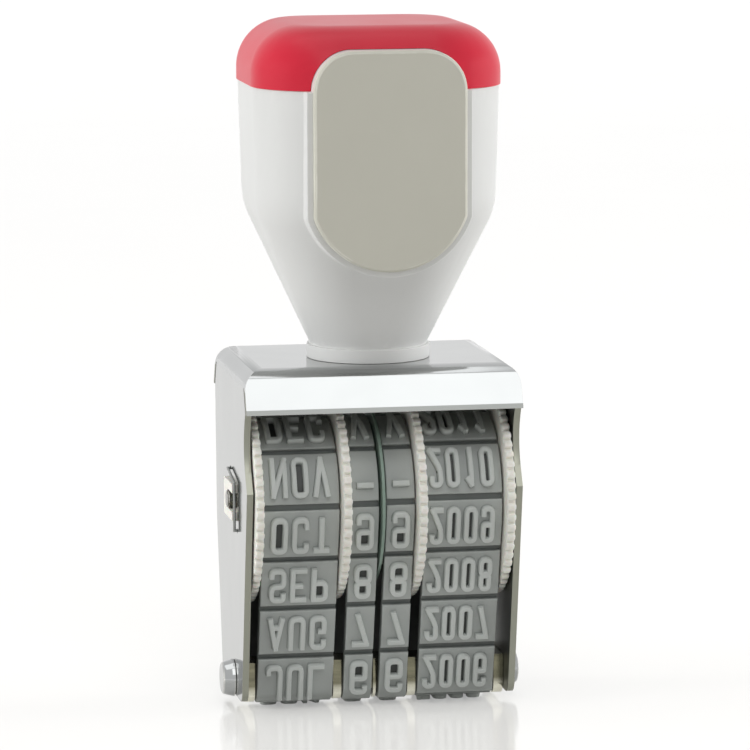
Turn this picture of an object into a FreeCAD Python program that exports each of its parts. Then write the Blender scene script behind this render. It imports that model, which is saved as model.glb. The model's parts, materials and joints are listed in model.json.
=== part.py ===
import FreeCAD, Part
import math
import os
import re
import Sketcher

# A hand-held band date stamp. Millimetres, +Z up, the front faces -Y.
# The origin is the middle of the printing face; the wheels turn about the X direction.

os.makedirs("parts", exist_ok=True)
doc = FreeCAD.newDocument("date_stamp")
dims = doc.addObject("Spreadsheet::Sheet", "dims")

sizes = {
    # frame of bent sheet
    "sheet_thick": 0.7,
    "crown_gap": 3.9,
    "lip_front": 10.4,
    "lip_back": 14.0,
    "lip_height": 4.5,
    "lip_flare": 2.0,
    "bend_radius": 2.2,
    "relief_width": 0.3,
    "relief_top": 1.9,
    "waist_front": 7.5,
    "waist_drop": 3.9,
    "waist_radius": 6.0,
    "kink_front": 10.2,
    "kink_rise": 2.1,
    "back_bend": 12.2,
    "back_bend_drop": 3.8,
    "foot_front": 5.8,
    "foot_back": 8.2,
    "foot_z": 1.3,
    "foot_radius": 1.5,
    "window_half": 2.9,
    "window_height": 4.1,
    # axle and what holds it
    "axle_z": 22.8,
    "axle_radius": 1.0,
    "axle_proud": 0.7,
    "axle_chamfer": 0.15,
    "insert_proud": 0.55,
    "wire_radius": 0.15,
    "wire_rise": 3.1,
    "wire_offset": 1.6,
    "wire_drop": 3.0,
    # wheels
    "flange_radius": 11.3,
    "flange_width": 0.9,
    "tooth_height": 0.4,
    "tooth_count": 60,
    "drum_radius": 7.7,
    "divider_radius": 9.7,
    "divider_thick": 0.3,
    # bands
    "month_width": 8.3,
    "day_width": 3.1,
    "year_width": 8.4,
    "belt_thick": 0.6,
    "pad_height": 0.5,
    "type_height": 0.65,
    "type_margin": 0.45,
    "groove_width": 0.6,
    "letter_height": 4.0,
    "letter_gap": 0.35,
    "pad_count": 13,
    "foot_corner": 0.1,
    # platen
    "platen_half": 2.5,
    "platen_height": 3.0,
    "fin_reach": 0.9,
    "fin_bottom": 0.7,
    "fin_top": 5.2,
    "fin_radius": 1.3,
    "rivet_z": 3.0,
    "rivet_radius": 1.2,
    "rivet_head_radius": 2.1,
    "rivet_face_radius": 1.7,
    "rivet_head_height": 1.4,
    # handle
    "handle_y": 0.4,
    "handle_half_width": 13.5,
    "handle_half_depth": 13.1,
    "handle_corner": 8.4,
    "handle_wall": 2.4,
    "taper_height": 16.6,
    "grip_height": 13.3,
    "grip_step": 0.15,
    "grip_draft": 0.4,
    "shoulder_radius": 8.0,
    "neck_radius": 6.3,
    "neck_flat": 0.06,
    "ring_rise": 0.4,
    "ring_height": 1.5,
    "cap_height": 6.6,
    "cap_edge": 5.2,
    "cap_roof": 2.6,
    "spigot_depth": 2.0,
    "spigot_wall": 1.5,
    "boss_rise": 0.5,
    "boss_sunk": 4.1,
    "boss_margin": 0.65,
    "plate_thick": 0.8,
    "plate_half": 8.2,
    "plate_rise": 4.3,
    "plate_corner": 4.3,
    "plate_drop": 19.1,
    "plate_bulge": 0.5,
    "plate_chamfer": 0.25,
    "pin_radius": 0.8,
    "pin_length": 2.0,
    "pin_spacing": 12.0,
    # fixing screw
    "screw_radius": 1.45,
    "screw_reach": 9.0,
    "screw_head_radius": 2.6,
    "screw_head_height": 1.5,
    "slot_width": 0.6,
    "slot_depth": 0.7,
    "washer_radius": 3.2,
    "washer_thick": 0.4,
    # clearances
    "side_gap": 0.15,
    "wheel_gap": 0.1,
    "end_gap": 0.2,
    "drum_gap": 0.08,
    "platen_gap": 0.06,
    "running_gap": 0.05,
    "seat_gap": 0.03,
    "cut_past": 1.0,
}

# Places that follow from the sizes above: the wheels and bands stack up along the axle, and the
# frame closes round them.
places = {
    "frame_top": "axle_z + flange_radius + crown_gap",
    "frame_under": "frame_top - sheet_thick",
    "stack_width": "4 * flange_width + month_width + 2 * day_width + divider_thick + year_width",
    "inside_half": "stack_width / 2 + 4 * side_gap + wheel_gap + end_gap",
    "frame_half": "inside_half + sheet_thick",
    "lip_low": "frame_top - lip_height",
    "lip_slope": "lip_flare / lip_height",
    "lip_wall": "sheet_thick * sqrt(1 + lip_slope ^ 2)",
    "waist_z": "lip_low - waist_drop",
    "kink_z": "axle_z + kink_rise",
    "back_bend_z": "axle_z - back_bend_drop",
    "month_flange_x": "-inside_half + end_gap",
    "month_band_x": "month_flange_x + flange_width + side_gap",
    "tens_flange_x": "month_band_x + month_width + side_gap",
    "tens_band_x": "tens_flange_x + flange_width + side_gap",
    "divider_x": "tens_band_x + day_width + side_gap + wheel_gap",
    "units_band_x": "divider_x + divider_thick + side_gap + wheel_gap",
    "units_flange_x": "units_band_x + day_width + side_gap",
    "year_band_x": "units_flange_x + flange_width + side_gap",
    "year_flange_x": "year_band_x + year_width + side_gap",
    "belt_inside": "drum_radius + drum_gap",
    "band_thick": "belt_thick + pad_height + type_height",
    "corner_z": "band_thick + foot_corner",
    "bore_radius": "axle_radius + running_gap",
    "insert_bore": "axle_radius + seat_gap",
    "wire_front": "window_half + wire_radius + seat_gap",
    "fin_half": "platen_half + fin_reach",
    "shank_end": "inside_half - end_gap - flange_width",
    "grip_inset": "grip_step + grip_draft",
    "shoulder_z": "frame_top + taper_height",
    "seam_z": "shoulder_z + grip_height",
    "cap_top": "seam_z + cap_height",
    "ring_radius": "neck_radius + ring_rise",
    "boss_front": "handle_half_depth + boss_rise",
    "boss_back": "handle_half_depth - boss_sunk",
    "plate_front": "boss_front + plate_thick",
    "plate_top": "seam_z + plate_rise",
    "plate_bottom": "seam_z - plate_drop",
    "plate_bottom_radius": "plate_half + plate_bulge",
    "plate_arc_z": "plate_bottom + plate_bottom_radius",
}

for row, (name, value) in enumerate([*sizes.items(), *places.items()], start=1):
    dims.set(f"A{row}", name)
    dims.set(f"B{row}", f"={value}" if name in places else str(value))
    dims.setAlias(f"B{row}", name)
doc.recompute()


def bind(item, field, text):
    """Tie a property to an expression of the sheet's names, which all hold an underscore."""
    item.setExpression(field, re.sub(r"[a-z]+(?:_[a-z]+)+", lambda m: "dims." + m.group(), text))


def number(text):
    return float(dims.evalExpression(text))


def box(name, x, y, z):
    """A box between (low, high) pairs of expressions."""
    item = doc.addObject("Part::Box", name)
    for (low, high), side, axis in ((x, "Length", "x"), (y, "Width", "y"), (z, "Height", "z")):
        bind(item, side, f"({high}) - ({low})")
        bind(item, f"Placement.Base.{axis}", low)
    return item


def turned(name, axis, span, centre, radius, end_radius=None):
    """A cylinder, or a cone where end_radius is given, along +X, +Y or +Z over a span."""
    item = doc.addObject("Part::Cone" if end_radius else "Part::Cylinder", name)
    turn = {"x": ((0, 1, 0), 90), "y": ((1, 0, 0), -90), "z": ((0, 0, 1), 0)}[axis]
    item.Placement.Rotation = FreeCAD.Rotation(FreeCAD.Vector(*turn[0]), turn[1])
    low, high = span
    bind(item, "Height", f"({high}) - ({low})")
    bind(item, "Radius1" if end_radius else "Radius", radius)
    if end_radius:
        bind(item, "Radius2", end_radius)
    bind(item, f"Placement.Base.{axis}", low)
    for other, place in zip((a for a in "xyz" if a != axis), centre):
        bind(item, f"Placement.Base.{other}", place)
    return item


def fuse(name, *items):
    item = doc.addObject("Part::MultiFuse", name)
    item.Shapes = list(items)
    return item


def common(name, first, second):
    item = doc.addObject("Part::MultiCommon", name)
    item.Shapes = [first, second]
    return item


def cut(name, base, *tools):
    item = doc.addObject("Part::Cut", name)
    item.Base = base
    item.Tool = tools[0] if len(tools) == 1 else fuse(name + "_tools", *tools)
    return item


def blend(name, base, radius, wanted, kind="Part::Fillet"):
    """Round, or chamfer, the edges of the base that the test wanted picks by their middle and direction."""
    doc.recompute()
    size = number(radius)
    picked = []
    for index, edge in enumerate(base.Shape.Edges, start=1):
        middle = edge.valueAt((edge.FirstParameter + edge.LastParameter) / 2)
        start, end = edge.valueAt(edge.FirstParameter), edge.valueAt(edge.LastParameter)
        run = (end - start).normalize() if (end - start).Length > 1e-6 else FreeCAD.Vector()
        if wanted(middle, run):
            picked.append((index, size, size))
    item = doc.addObject(kind, name)
    item.Base = base
    item.Edges = picked
    return item


def level(value, text):
    return abs(value - number(text)) < 1e-4


def sketch(name, plane, offset):
    """An empty sketch: plane "yz" has its normal along +X, "xy" along +Z; offset is along the normal."""
    item = doc.addObject("Sketcher::SketchObject", name)
    axis = "x" if plane == "yz" else "z"
    if plane == "yz":
        item.Placement.Rotation = FreeCAD.Rotation(0.5, 0.5, 0.5, 0.5)
    bind(item, f"Placement.Base.{axis}", offset)
    return item


def hold(outline, kind, geometry, text, *point):
    """Add a sketch constraint whose value follows an expression."""
    index = outline.addConstraint(Sketcher.Constraint(kind, *geometry, *point, number(text)))
    bind(outline, f"Constraints[{index}]", text)


def polygon(name, plane, offset, points):
    """A closed outline of straight sides, each corner held by two expressions."""
    outline = sketch(name, plane, offset)
    corners = [FreeCAD.Vector(number(a), number(b), 0) for a, b in points]
    count = len(corners)
    for index in range(count):
        outline.addGeometry(Part.LineSegment(corners[index], corners[(index + 1) % count]))
    for index in range(count):
        outline.addConstraint(Sketcher.Constraint("Coincident", index, 2, (index + 1) % count, 1))
    for index, (a, b) in enumerate(points):
        hold(outline, "DistanceX", (-1, 1, index, 1), a)
        hold(outline, "DistanceY", (-1, 1, index, 1), b)
    return outline


def tangentLoop(name, plane, offset, arcs):
    """A closed outline of arcs joined by tangent lines; arcs are (centre a, centre b, radius,
    first degree, last degree), anticlockwise, and the lines join each one to the next."""
    outline = sketch(name, plane, offset)
    count = len(arcs)
    ends = []
    for a, b, radius, first, last in arcs:
        circle = Part.Circle(FreeCAD.Vector(number(a), number(b), 0), FreeCAD.Vector(0, 0, 1), number(radius))
        arc = Part.ArcOfCircle(circle, math.radians(first), math.radians(last))
        outline.addGeometry(arc)
        ends.append((arc.StartPoint, arc.EndPoint))
    for index in range(count):
        outline.addGeometry(Part.LineSegment(ends[index][1], ends[(index + 1) % count][0]))
    for index in range(count):
        outline.addConstraint(Sketcher.Constraint("Tangent", index, 2, count + index, 1))
        outline.addConstraint(Sketcher.Constraint("Tangent", count + index, 2, (index + 1) % count, 1))
    for index, (a, b, radius, _, _) in enumerate(arcs):
        hold(outline, "DistanceX", (-1, 1, index, 3), a)
        hold(outline, "DistanceY", (-1, 1, index, 3), b)
        hold(outline, "Radius", (index,), radius)
    return outline


def extruded(name, outline, direction, length):
    item = doc.addObject("Part::Extrusion", name)
    item.Base = outline
    item.DirMode = "Custom"
    item.Dir = direction
    item.Solid = True
    bind(item, "LengthFwd", length)
    return item


def plain(name, shape):
    """A solid that neither a primitive nor a sketch makes, built from the sheet's numbers."""
    item = doc.addObject("Part::Feature", name)
    item.Shape = shape
    return item


# ---- frame -------------------------------------------------------------------------------------

def lipFace(end, drop, inset):
    """How far out the lip's face is, at a drop below the top and an inset into the sheet."""
    return f"{end} - lip_flare + lip_slope * ({drop}) - ({inset})"


def pressing(name, inset, wall):
    """The frame's top with its flared lips, as a block shrunk by the inset, with its top bends round."""
    low = "lip_height" if inset == "0" else "lip_height + cut_past"
    points = [(f"-({lipFace('lip_front', inset, wall)})", f"frame_top - {inset}"),
              (f"-({lipFace('lip_front', low, wall)})", f"frame_top - ({low})"),
              (lipFace("lip_back", low, wall), f"frame_top - ({low})"),
              (lipFace("lip_back", inset, wall), f"frame_top - {inset}")]
    outline = polygon(name + "_outline", "yz", f"{inset} - frame_half", points)
    block = extruded(name + "_block", outline, (1, 0, 0), f"2 * (frame_half - {inset})")
    return blend(name, block, f"bend_radius - {inset}",
                 lambda middle, run: level(middle.z, f"frame_top - {inset}"))


def relief(name, end, side):
    """The slit at both corners between a lip and the cheeks; side is -1 in front and 1 behind."""
    low, behind = "lip_height + cut_past", "lip_wall + relief_width"
    points = [(f"{side} * ({lipFace(end, drop, inset)})", f"frame_top - ({drop})")
              for drop, inset in (("relief_top", "lip_wall"), (low, "lip_wall"),
                                  (low, behind), ("relief_top", behind))]
    across = extruded(name + "_across", polygon(name + "_outline", "yz", "-frame_half - cut_past", points),
                      (1, 0, 0), "2 * (frame_half + cut_past)")
    middle = box(name + "_middle", ("side_gap - inside_half", "inside_half - side_gap"),
                 ("-lip_front", "lip_back"), ("axle_z", "frame_top"))
    return cut(name, across, middle)


def cheek(name, x):
    """One side plate: in front it is waisted for the thumb and widest at the kink, and behind it is
    nearly straight; both edges narrow to the foot. Under the lips it keeps to the reliefs."""
    front, back = "(relief_width + lip_wall - lip_front)", "(lip_back - lip_wall - relief_width)"
    points = [("-waist_front", "lip_low + cut_past"), (front, "lip_low"), ("-waist_front", "waist_z"),
              ("-kink_front", "kink_z"), ("-foot_front", "foot_z"), ("foot_back", "foot_z"),
              ("back_bend", "back_bend_z"), (back, "lip_low"), (f"{back} - cut_past", "lip_low + cut_past")]
    plate = extruded(name + "_plate", polygon(name + "_outline", "yz", x, points), (1, 0, 0), "sheet_thick")
    waist = blend(name + "_waist", plate, "waist_radius",
                  lambda middle, run: abs(run.x) > 0.9 and level(middle.z, "waist_z"))
    return blend(name, waist, "foot_radius",
                 lambda middle, run: abs(run.x) > 0.9 and level(middle.z, "foot_z"))


def throughBoth(name, radius, y, z):
    return turned(name, "x", ("-frame_half - cut_past", "frame_half + cut_past"), (y, z), radius)


frame_blank = fuse("frame_blank",
                   cut("frame_cover", pressing("cover_outside", "0", "0"),
                       pressing("cover_inside", "sheet_thick", "lip_wall")),
                   cheek("cheek_left", "-frame_half"), cheek("cheek_right", "inside_half"))
windows = box("windows", ("-frame_half - cut_past", "frame_half + cut_past"), ("-window_half", "window_half"),
              ("axle_z - window_height / 2", "axle_z + window_height / 2"))
frame = cut("frame", frame_blank, windows, relief("relief_front", "lip_front", -1),
            relief("relief_back", "lip_back", 1),
            throughBoth("rivet_holes", "rivet_radius + running_gap", "0", "rivet_z"),
            throughBoth("wire_holes_high", "wire_radius + side_gap", "wire_offset", "axle_z + wire_rise"),
            throughBoth("wire_holes_low", "wire_radius + side_gap", "-wire_front", "axle_z - wire_drop"),
            turned("screw_hole", "z", ("frame_under - cut_past", "frame_top + cut_past"), ("0", "handle_y"),
                   "screw_radius + side_gap"))

# ---- axle, its inserts and wires ---------------------------------------------------------------

axle_bar = turned("axle_bar", "x", ("-frame_half - axle_proud", "frame_half + axle_proud"),
                  ("0", "axle_z"), "axle_radius")
wheel_axle = blend("wheel_axle", axle_bar, "axle_chamfer",
                   lambda middle, run: level(abs(middle.x), "frame_half + axle_proud"), "Part::Chamfer")


def bearing(name, x):
    """A plastic insert in a cheek window that carries the axle, slotted in front to take it in."""
    block = box(name + "_block", x, ("seat_gap - window_half", "window_half - seat_gap"),
                ("axle_z - window_height / 2 + seat_gap", "axle_z + window_height / 2 - seat_gap"))
    slot = box(name + "_slot", x, ("-window_half", "0"), ("axle_z - insert_bore", "axle_z + insert_bore"))
    return cut(name, block, slot, throughBoth(name + "_bore", "insert_bore", "0", "axle_z"))


bearings = [bearing("axle_bearing_left", ("-frame_half - insert_proud", "-inside_half")),
            bearing("axle_bearing_right", ("inside_half", "frame_half + insert_proud"))]


def wire(name, side):
    """A wire from its hole in the cheek, down across the insert's slot and back in under it."""
    inner = number("inside_half + side_gap")
    skin = number("frame_half + wire_radius * 2")
    back, front = number("wire_offset"), number("-wire_front")
    top, low = number("axle_z + wire_rise"), number("axle_z - wire_drop")
    shoulder = number("axle_z + window_height / 2 + wire_radius + seat_gap")
    route = [(inner, back, top), (skin, back, top), (skin, front, shoulder), (skin, front, low),
             (inner, front, low)]
    points = [FreeCAD.Vector(side * x, y, z) for x, y, z in route]
    profile = Part.Wire(Part.makeCircle(number("wire_radius"), points[0], FreeCAD.Vector(1, 0, 0)))
    return plain(name, Part.makePolygon(points).makePipeShell([profile], True, True, 1))


wires = [wire("axle_wire_left", -1), wire("axle_wire_right", 1)]

# ---- wheels ------------------------------------------------------------------------------------

def knurledDisc(name, x):
    """The thumb flange: a disc with straight teeth round its rim."""
    tip, count = number("flange_radius"), int(number("tooth_count"))
    root = tip - number("tooth_height")
    step = 2 * math.pi / count
    profile = []
    for tooth in range(count):
        for share, radius in ((0.0, root), (0.2, root), (0.4, tip), (0.8, tip)):
            turn = (tooth + share) * step
            profile.append(FreeCAD.Vector(number(x), radius * math.cos(turn),
                                          number("axle_z") + radius * math.sin(turn)))
    face = Part.Face(Part.makePolygon(profile + profile[:1]))
    return plain(name, face.extrude(FreeCAD.Vector(number("flange_width"), 0, 0)))


def wheel(name, flange_x, drum):
    """A thumb wheel: knurled flange and band drum in one, bored to run on the axle."""
    disc = knurledDisc(name + "_flange", flange_x)
    barrel = turned(name + "_drum", "x", drum, ("0", "axle_z"), "drum_radius")
    return cut(name, fuse(name + "_blank", disc, barrel),
               throughBoth(name + "_bore", "bore_radius", "0", "axle_z"))


wheels = [
    wheel("month_wheel", "month_flange_x", ("month_flange_x", "tens_flange_x - wheel_gap")),
    wheel("day_tens_wheel", "tens_flange_x", ("tens_flange_x", "divider_x - wheel_gap")),
    wheel("day_units_wheel", "units_flange_x",
          ("divider_x + divider_thick + wheel_gap", "units_flange_x + flange_width")),
    wheel("year_wheel", "year_flange_x",
          ("units_flange_x + flange_width + wheel_gap", "year_flange_x + flange_width")),
]
divider_disc = cut("divider_disc",
                   turned("divider_blank", "x", ("divider_x", "divider_x + divider_thick"), ("0", "axle_z"),
                          "divider_radius"),
                   throughBoth("divider_bore", "axle_radius + seat_gap", "0", "axle_z"))

# ---- bands -------------------------------------------------------------------------------------

class BeltPath:
    """The inside line of a band: flat under the platen, round its corners, up to the wheel and over it."""

    def __init__(self):
        self.half = number("platen_half")
        self.corner, self.cornerZ = number("foot_corner"), number("corner_z")
        self.wheel, self.wheelZ = number("belt_inside"), number("axle_z")
        self.middle = number("belt_thick / 2")
        rise = self.wheelZ - self.cornerZ
        reach = math.hypot(self.half, rise)
        self.lean = math.asin((self.wheel - self.corner) / reach) - math.atan2(self.half, rise)
        self.run = math.sqrt(reach ** 2 - (self.wheel - self.corner) ** 2)
        self.cornerArc = (self.corner + self.middle) * (math.pi / 2 - self.lean)
        self.wheelArc = (self.wheel + self.middle) * (math.pi / 2 + self.lean)
        self.length = 2 * (self.half + self.cornerArc + self.run + self.wheelArc)

    def frame(self, along):
        """The place on the inside line and the turn about X, at a distance from the foot's middle."""
        side, along = math.copysign(1, along), abs(along)
        flatTurn = math.pi / 2 - self.lean
        if along < self.half:
            turn, y, z = 0.0, along, self.cornerZ - self.corner
        elif along < self.half + self.cornerArc:
            turn = (along - self.half) / (self.corner + self.middle)
            y, z = self.half + self.corner * math.sin(turn), self.cornerZ - self.corner * math.cos(turn)
        elif along < self.half + self.cornerArc + self.run:
            turn, more = flatTurn, along - self.half - self.cornerArc
            y = self.half + self.corner * math.sin(turn) + more * math.cos(turn)
            z = self.cornerZ - self.corner * math.cos(turn) + more * math.sin(turn)
        else:
            more = along - self.half - self.cornerArc - self.run
            turn = flatTurn + more / (self.wheel + self.middle)
            y, z = self.wheel * math.sin(turn), self.wheelZ - self.wheel * math.cos(turn)
        return FreeCAD.Vector(0, side * y, z), math.degrees(side * turn)


path = BeltPath()
pads = int(number("pad_count"))
pitch = path.length / pads


def bandLoop(name, offset, x, width):
    """The solid inside a band's path, pushed out by an offset."""
    lean = math.degrees(path.lean)
    arcs = [("0", "axle_z", f"belt_inside + {offset}", -lean, 180 + lean),
            ("-platen_half", "corner_z", f"foot_corner + {offset}", 180 + lean, 270),
            ("platen_half", "corner_z", f"foot_corner + {offset}", 270, 360 - lean)]
    return extruded(name, tangentLoop(name + "_path", "yz", x, arcs), (1, 0, 0), width)


def gaps(name, width):
    """Cutters between the pads, from the belt's skin outwards; at the foot's corners they fan open."""
    reach = "band_thick + cut_past"
    cutters = []
    for index in range(pads):
        middle = math.remainder((index + 0.5) * pitch, path.length)
        fan = path.cornerArc / 4 if path.half < abs(middle) < path.half + path.cornerArc else 0
        for along in {middle - fan, middle, middle + fan}:
            place, turn = path.frame(along)
            cutter = doc.addObject("Part::Box", f"{name}_{len(cutters)}")
            bind(cutter, "Length", "2 * frame_half")
            bind(cutter, "Width", width)
            bind(cutter, "Height", f"{reach} - belt_thick")
            corner = FreeCAD.Vector(-number("frame_half"), -number(width) / 2, -number(reach))
            cutter.Placement = FreeCAD.Placement(
                place, FreeCAD.Rotation(FreeCAD.Vector(1, 0, 0), turn)) * FreeCAD.Placement(
                corner, FreeCAD.Rotation())
            cutters.append(cutter)
    return fuse(name, *cutters)


grooves = gaps("grooves", "groove_width")
type_gaps = gaps("type_gaps", f"{pitch} - letter_height")
band_inside = bandLoop("band_inside", "0", "-frame_half", "2 * frame_half")


def band(name, x, width, letters):
    """A rubber band: belt, pads, and on each pad one plain raised block per letter."""
    pad_ring = cut(name + "_pads", bandLoop(name + "_pad_loop", "belt_thick + pad_height", x, width), grooves)
    blocks = bandLoop(name + "_type_loop", "band_thick", f"{x} + type_margin", f"{width} - 2 * type_margin")
    tools = [type_gaps]
    for index in range(1, letters):
        middle = f"{x} + type_margin + ({width} - 2 * type_margin) * {index} / {letters}"
        tools.append(box(f"{name}_slit_{index}", (f"{middle} - letter_gap / 2", f"{middle} + letter_gap / 2"),
                         ("-flange_radius", "flange_radius"), ("-cut_past", "axle_z + flange_radius")))
    return cut(name, fuse(name + "_solid", pad_ring, cut(name + "_type", blocks, *tools)), band_inside)


bands = [band("month_band", "month_band_x", "month_width", 3),
         band("day_tens_band", "tens_band_x", "day_width", 1),
         band("day_units_band", "units_band_x", "day_width", 1),
         band("year_band", "year_band_x", "year_width", 4)]

# ---- platen and its rivets ---------------------------------------------------------------------

def fin(name, x):
    """A guide beside a band at the foot, round at its lower corners."""
    block = box(name + "_block", x, ("-fin_half", "fin_half"), ("fin_bottom", "fin_top"))
    return blend(name, block, "fin_radius",
                 lambda middle, run: abs(run.x) > 0.9 and level(middle.z, "fin_bottom"))


fins = [
    fin("fin_left", ("-inside_half + running_gap", "month_band_x - side_gap")),
    fin("fin_month", ("tens_flange_x", "tens_flange_x + flange_width")),
    fin("fin_days", ("divider_x", "divider_x + divider_thick")),
    fin("fin_year", ("units_flange_x", "units_flange_x + flange_width")),
    fin("fin_right", ("year_flange_x", "inside_half - running_gap")),
]
platen_block = box("platen_block", ("-inside_half + running_gap", "inside_half - running_gap"),
                   ("-platen_half", "platen_half"),
                   ("band_thick + platen_gap", "band_thick + platen_height"))
rivet_bores = [turned(f"platen_bore_{side}", "x", span, ("0", "rivet_z"), "rivet_radius + running_gap")
               for side, span in (("left", ("-inside_half", "-shank_end")),
                                  ("right", ("shank_end", "inside_half")))]
platen_bar = cut("platen_bar", fuse("platen_blank", platen_block, *fins), *rivet_bores)


def rivet(name, side):
    """A rivet: a shank through the cheek into the platen's end, with a tapered head outside."""
    shank = turned(name + "_shank", "z", ("0", "frame_half - shank_end"), ("0", "0"), "rivet_radius")
    head = turned(name + "_head", "z", ("-rivet_head_height", "0"), ("0", "0"), "rivet_face_radius",
                  "rivet_head_radius")
    item = fuse(name, shank, head)
    item.Placement.Rotation = FreeCAD.Rotation(FreeCAD.Vector(0, 1, 0), -side * 90)
    bind(item, "Placement.Base.x", f"{side} * frame_half")
    bind(item, "Placement.Base.z", "rivet_z")
    return item


rivets = [rivet("platen_rivet_left", -1), rivet("platen_rivet_right", 1)]

# ---- handle ------------------------------------------------------------------------------------

def block(name, inset, z):
    """The handle's rounded section as a straight block, shrunk by an inset."""
    x, y = f"handle_half_width - {inset}", f"handle_half_depth - {inset}"
    straight = box(name + "_box", (f"-({x})", x), (f"-({y})", y), z)
    return blend(name, straight, f"handle_corner - {inset}", lambda middle, run: abs(run.z) > 0.9)


def section(name, half_x, half_y, radius, z):
    x, y = f"{half_x} - {radius}", f"{half_y} - {radius}"
    arcs = [(x, y, radius, 0, 90), (f"-({x})", y, radius, 90, 180),
            (f"-({x})", f"-({y})", radius, 180, 270), (x, f"-({y})", radius, 270, 360)]
    return tangentLoop(name, "xy", z, arcs)


def shield(name, margin, y):
    """The name plate's outline as a solid: a round foot, straight sides, round upper corners."""
    half, top = f"plate_half + {margin}", f"plate_top + {margin}"
    foot = common(name + "_foot",
                  turned(name + "_arc", "y", y, ("0", "plate_arc_z"), f"plate_bottom_radius + {margin}"),
                  box(name + "_foot_box", (f"-({half})", half), y,
                      (f"plate_arc_z - plate_bottom_radius - {margin} - cut_past", "plate_arc_z")))
    upper = blend(name + "_upper", box(name + "_box", (f"-({half})", half), y, ("plate_arc_z", top)),
                  f"plate_corner + {margin}", lambda middle, run: abs(run.y) > 0.9 and level(middle.z, top))
    return fuse(name, foot, upper)


def ruled(name, *sections):
    """The solid between two sections, with straight sides."""
    solid = doc.addObject("Part::Loft", name)
    solid.Sections = list(sections)
    solid.Solid = True
    solid.Ruled = True
    return solid


def gripSection(name, inset, z):
    return section(name, f"(handle_half_width - {inset})", f"(handle_half_depth - {inset})",
                   f"(handle_corner - {inset})", z)


upper = ruled("handle_upper", gripSection("shoulder_outline", "grip_inset", "shoulder_z"),
              gripSection("seam_outline", "grip_step", "seam_z"))
taper = ruled("handle_taper", gripSection("taper_outline", "grip_inset", "shoulder_z"),
              section("neck_section", "neck_radius", "neck_radius", "(neck_radius - neck_flat)",
                      "frame_top + ring_height"))
grip_round = blend("handle_grip_round", fuse("handle_grip", upper, taper), "shoulder_radius",
                   lambda middle, run: level(middle.z, "shoulder_z"))
neck_ring = turned("neck_ring", "z", ("frame_top", "frame_top + ring_height"), ("0", "0"), "ring_radius")
boss_rim = cut("boss_rim", shield("boss_rim_whole", "boss_margin", ("-boss_front", "-boss_back")),
               box("boss_rim_top", ("-2 * plate_half", "2 * plate_half"),
                   ("-boss_front - cut_past", "cut_past - boss_back"), ("seam_z", "cap_top")))
boss = fuse("handle_boss", boss_rim, shield("boss_tongue", "0", ("-boss_front", "-boss_back")))


def pins(name, radius, reach):
    """The plate's two pins, or with a larger radius and reach their holes."""
    return [turned(f"{name}_{place}", "y", ("-boss_front", f"-boss_front + {reach}"),
                   ("0", f"(plate_bottom + plate_top) / 2 {sign} pin_spacing / 2"), radius)
            for place, sign in (("low", "-"), ("high", "+"))]


handle_body = cut("handle_body", fuse("handle_solid", grip_round, neck_ring, boss),
                  block("handle_cavity", "handle_wall", ("shoulder_z + handle_wall", "seam_z")),
                  turned("screw_bore", "z", ("frame_top - cut_past", "frame_under + screw_reach + cut_past"),
                         ("0", "0"), "screw_radius + seat_gap"),
                  *pins("pin_hole", "pin_radius + seat_gap", "pin_length + side_gap"))

cap_block = blend("cap_round", block("cap_block", "0", ("seam_z", "cap_top")), "cap_edge",
                  lambda middle, run: level(middle.z, "cap_top"))
cap_notch = shield("cap_notch", "seat_gap",
                   ("-boss_front - cut_past", "seat_gap - boss_back"))
cap_room = box("cap_room", ("handle_wall - boss_back", "boss_back - handle_wall"),
               ("handle_wall - boss_back", "boss_back - handle_wall"),
               ("seam_z - cut_past", "cap_top - cap_roof"))
spigot_inset = "(handle_wall + seat_gap)"
spigot = cut("cap_spigot",
             block("spigot_outside", spigot_inset, ("seam_z - spigot_depth", "seam_z + cut_past")),
             block("spigot_inside", f"({spigot_inset} + spigot_wall)",
                   ("seam_z - spigot_depth - cut_past", "seam_z + 2 * cut_past")))
handle_cap = cut("handle_cap", fuse("cap_solid", cut("cap_shell", cap_block, cap_room), spigot), cap_notch)

plate_flat = shield("plate_flat", "0", ("-plate_front", "-boss_front"))
plate_edge = blend("plate_edge", plate_flat, "plate_chamfer",
                   lambda middle, run: level(middle.y, "-plate_front"), "Part::Chamfer")
front_plate = fuse("front_plate", plate_edge, *pins("plate_pin", "pin_radius", "pin_length"))

# ---- screw that joins handle and frame ---------------------------------------------------------

washer = cut("handle_washer",
             turned("washer_blank", "z", ("frame_under - washer_thick", "frame_under"), ("0", "0"),
                    "washer_radius"),
             turned("washer_hole", "z", ("frame_under - washer_thick - cut_past", "frame_under + cut_past"),
                    ("0", "0"), "screw_radius + side_gap"))
head_top = "frame_under - washer_thick"
head_low = f"{head_top} - screw_head_height"
screw = cut("handle_screw",
            fuse("screw_blank",
                 turned("screw_head", "z", (head_low, head_top), ("0", "0"), "screw_head_radius"),
                 turned("screw_shank", "z", (head_top, "frame_under + screw_reach"), ("0", "0"),
                        "screw_radius")),
            box("screw_slot", ("-screw_head_radius - cut_past", "screw_head_radius + cut_past"),
                ("-slot_width / 2", "slot_width / 2"),
                (f"{head_low} - cut_past", f"{head_low} + slot_depth")))

for item in (handle_body, handle_cap, front_plate, washer, screw):
    bind(item, "Placement.Base.y", "handle_y")

# ---- check and write out -----------------------------------------------------------------------

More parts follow.
